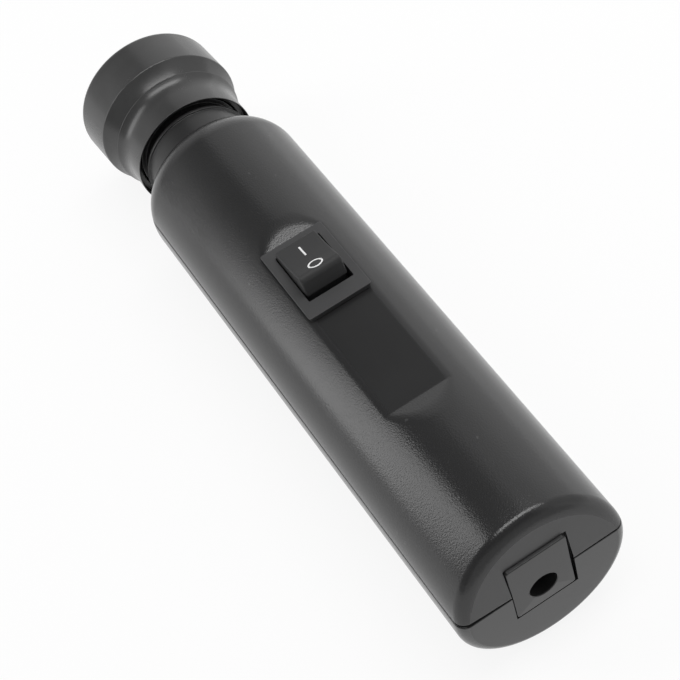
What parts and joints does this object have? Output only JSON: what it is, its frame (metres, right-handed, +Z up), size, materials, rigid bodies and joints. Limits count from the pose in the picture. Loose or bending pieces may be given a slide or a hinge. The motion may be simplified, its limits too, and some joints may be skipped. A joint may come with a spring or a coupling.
{
  "type": "egg candling lamp",
  "caption": "Black hand-held egg candling lamp: round body with a rocker switch, power inlet and rubber cup",
  "frame": {"origin": "on the surface that the lamp lies on, under the middle of its length", "axes": "+X towards the rubber cup, +Z up through the switch"},
  "size_m": [0.1668, 0.038, 0.0427],
  "materials": {
    "body_plastic": "fine moulded grain, satin",
    "inlet_plastic": "smooth satin",
    "switch_plastic": "smooth, slight sheen",
    "cup_rubber": "matt, soft",
    "steel": "zinc plated",
    "brass": "plain",
    "alloy": "turned",
    "board_white": "white solder mask on aluminium",
    "emitter": "phosphor yellow",
    "clear": "clear",
    "mirror_coat": "vacuum metallised",
    "resistor_tan": "lacquered",
    "wire_red": "insulation",
    "wire_orange": "insulation",
    "wire_black": "insulation"
  },
  "bodies": {
    "body": {"upper_shell": "body_plastic", "lower_shell": "body_plastic", "case_screws": "steel", "jack_plate": "inlet_plastic", "jack_body": "inlet_plastic", "jack_pin": "steel", "jack_pin_tab": "brass", "jack_spring": "brass", "switch_housing": "switch_plastic", "common_terminal": "brass", "load_terminal": "brass", "neck_barrel": "body_plastic", "heat_sink": "alloy", "led_board": "board_white", "board_screws": "steel", "led_base": "emitter", "led_dome": "clear", "reflector": "mirror_coat", "lens": "clear", "lens_ring": "body_plastic", "resistor": "resistor_tan", "wire_feed": "wire_red", "wire_switched": "wire_orange", "wire_ballast": "wire_red", "wire_return": "wire_black"},
    "cup": {"rubber_cup": "cup_rubber"},
    "rocker": {"rocker": "switch_plastic", "plunger": "brass", "plunger_spring": "steel"},
    "blade": {"contact_blade": "brass"}
  },
  "joints": [
    {"name": "rocker_tilt", "type": "hinge", "parent": "body", "child": "rocker", "pos_m": [-0.0051, 0, 0.036], "axis": [0, -1, 0], "range_deg": [0, 26]},
    {"name": "blade_tilt", "type": "hinge", "parent": "body", "child": "blade", "pos_m": [-0.0051, 0, 0.028], "axis": [0, -1, 0], "range_deg": [-13.6, 0.4]},
    {"name": "cup_pull", "type": "slide", "parent": "body", "child": "cup", "axis": [1, 0, 0], "range_m": [0, 0.012]}
  ],
  "couplings": [
    {"joint": "blade_tilt", "follows": "rocker_tilt", "ratio": -0.46154}
  ]
}
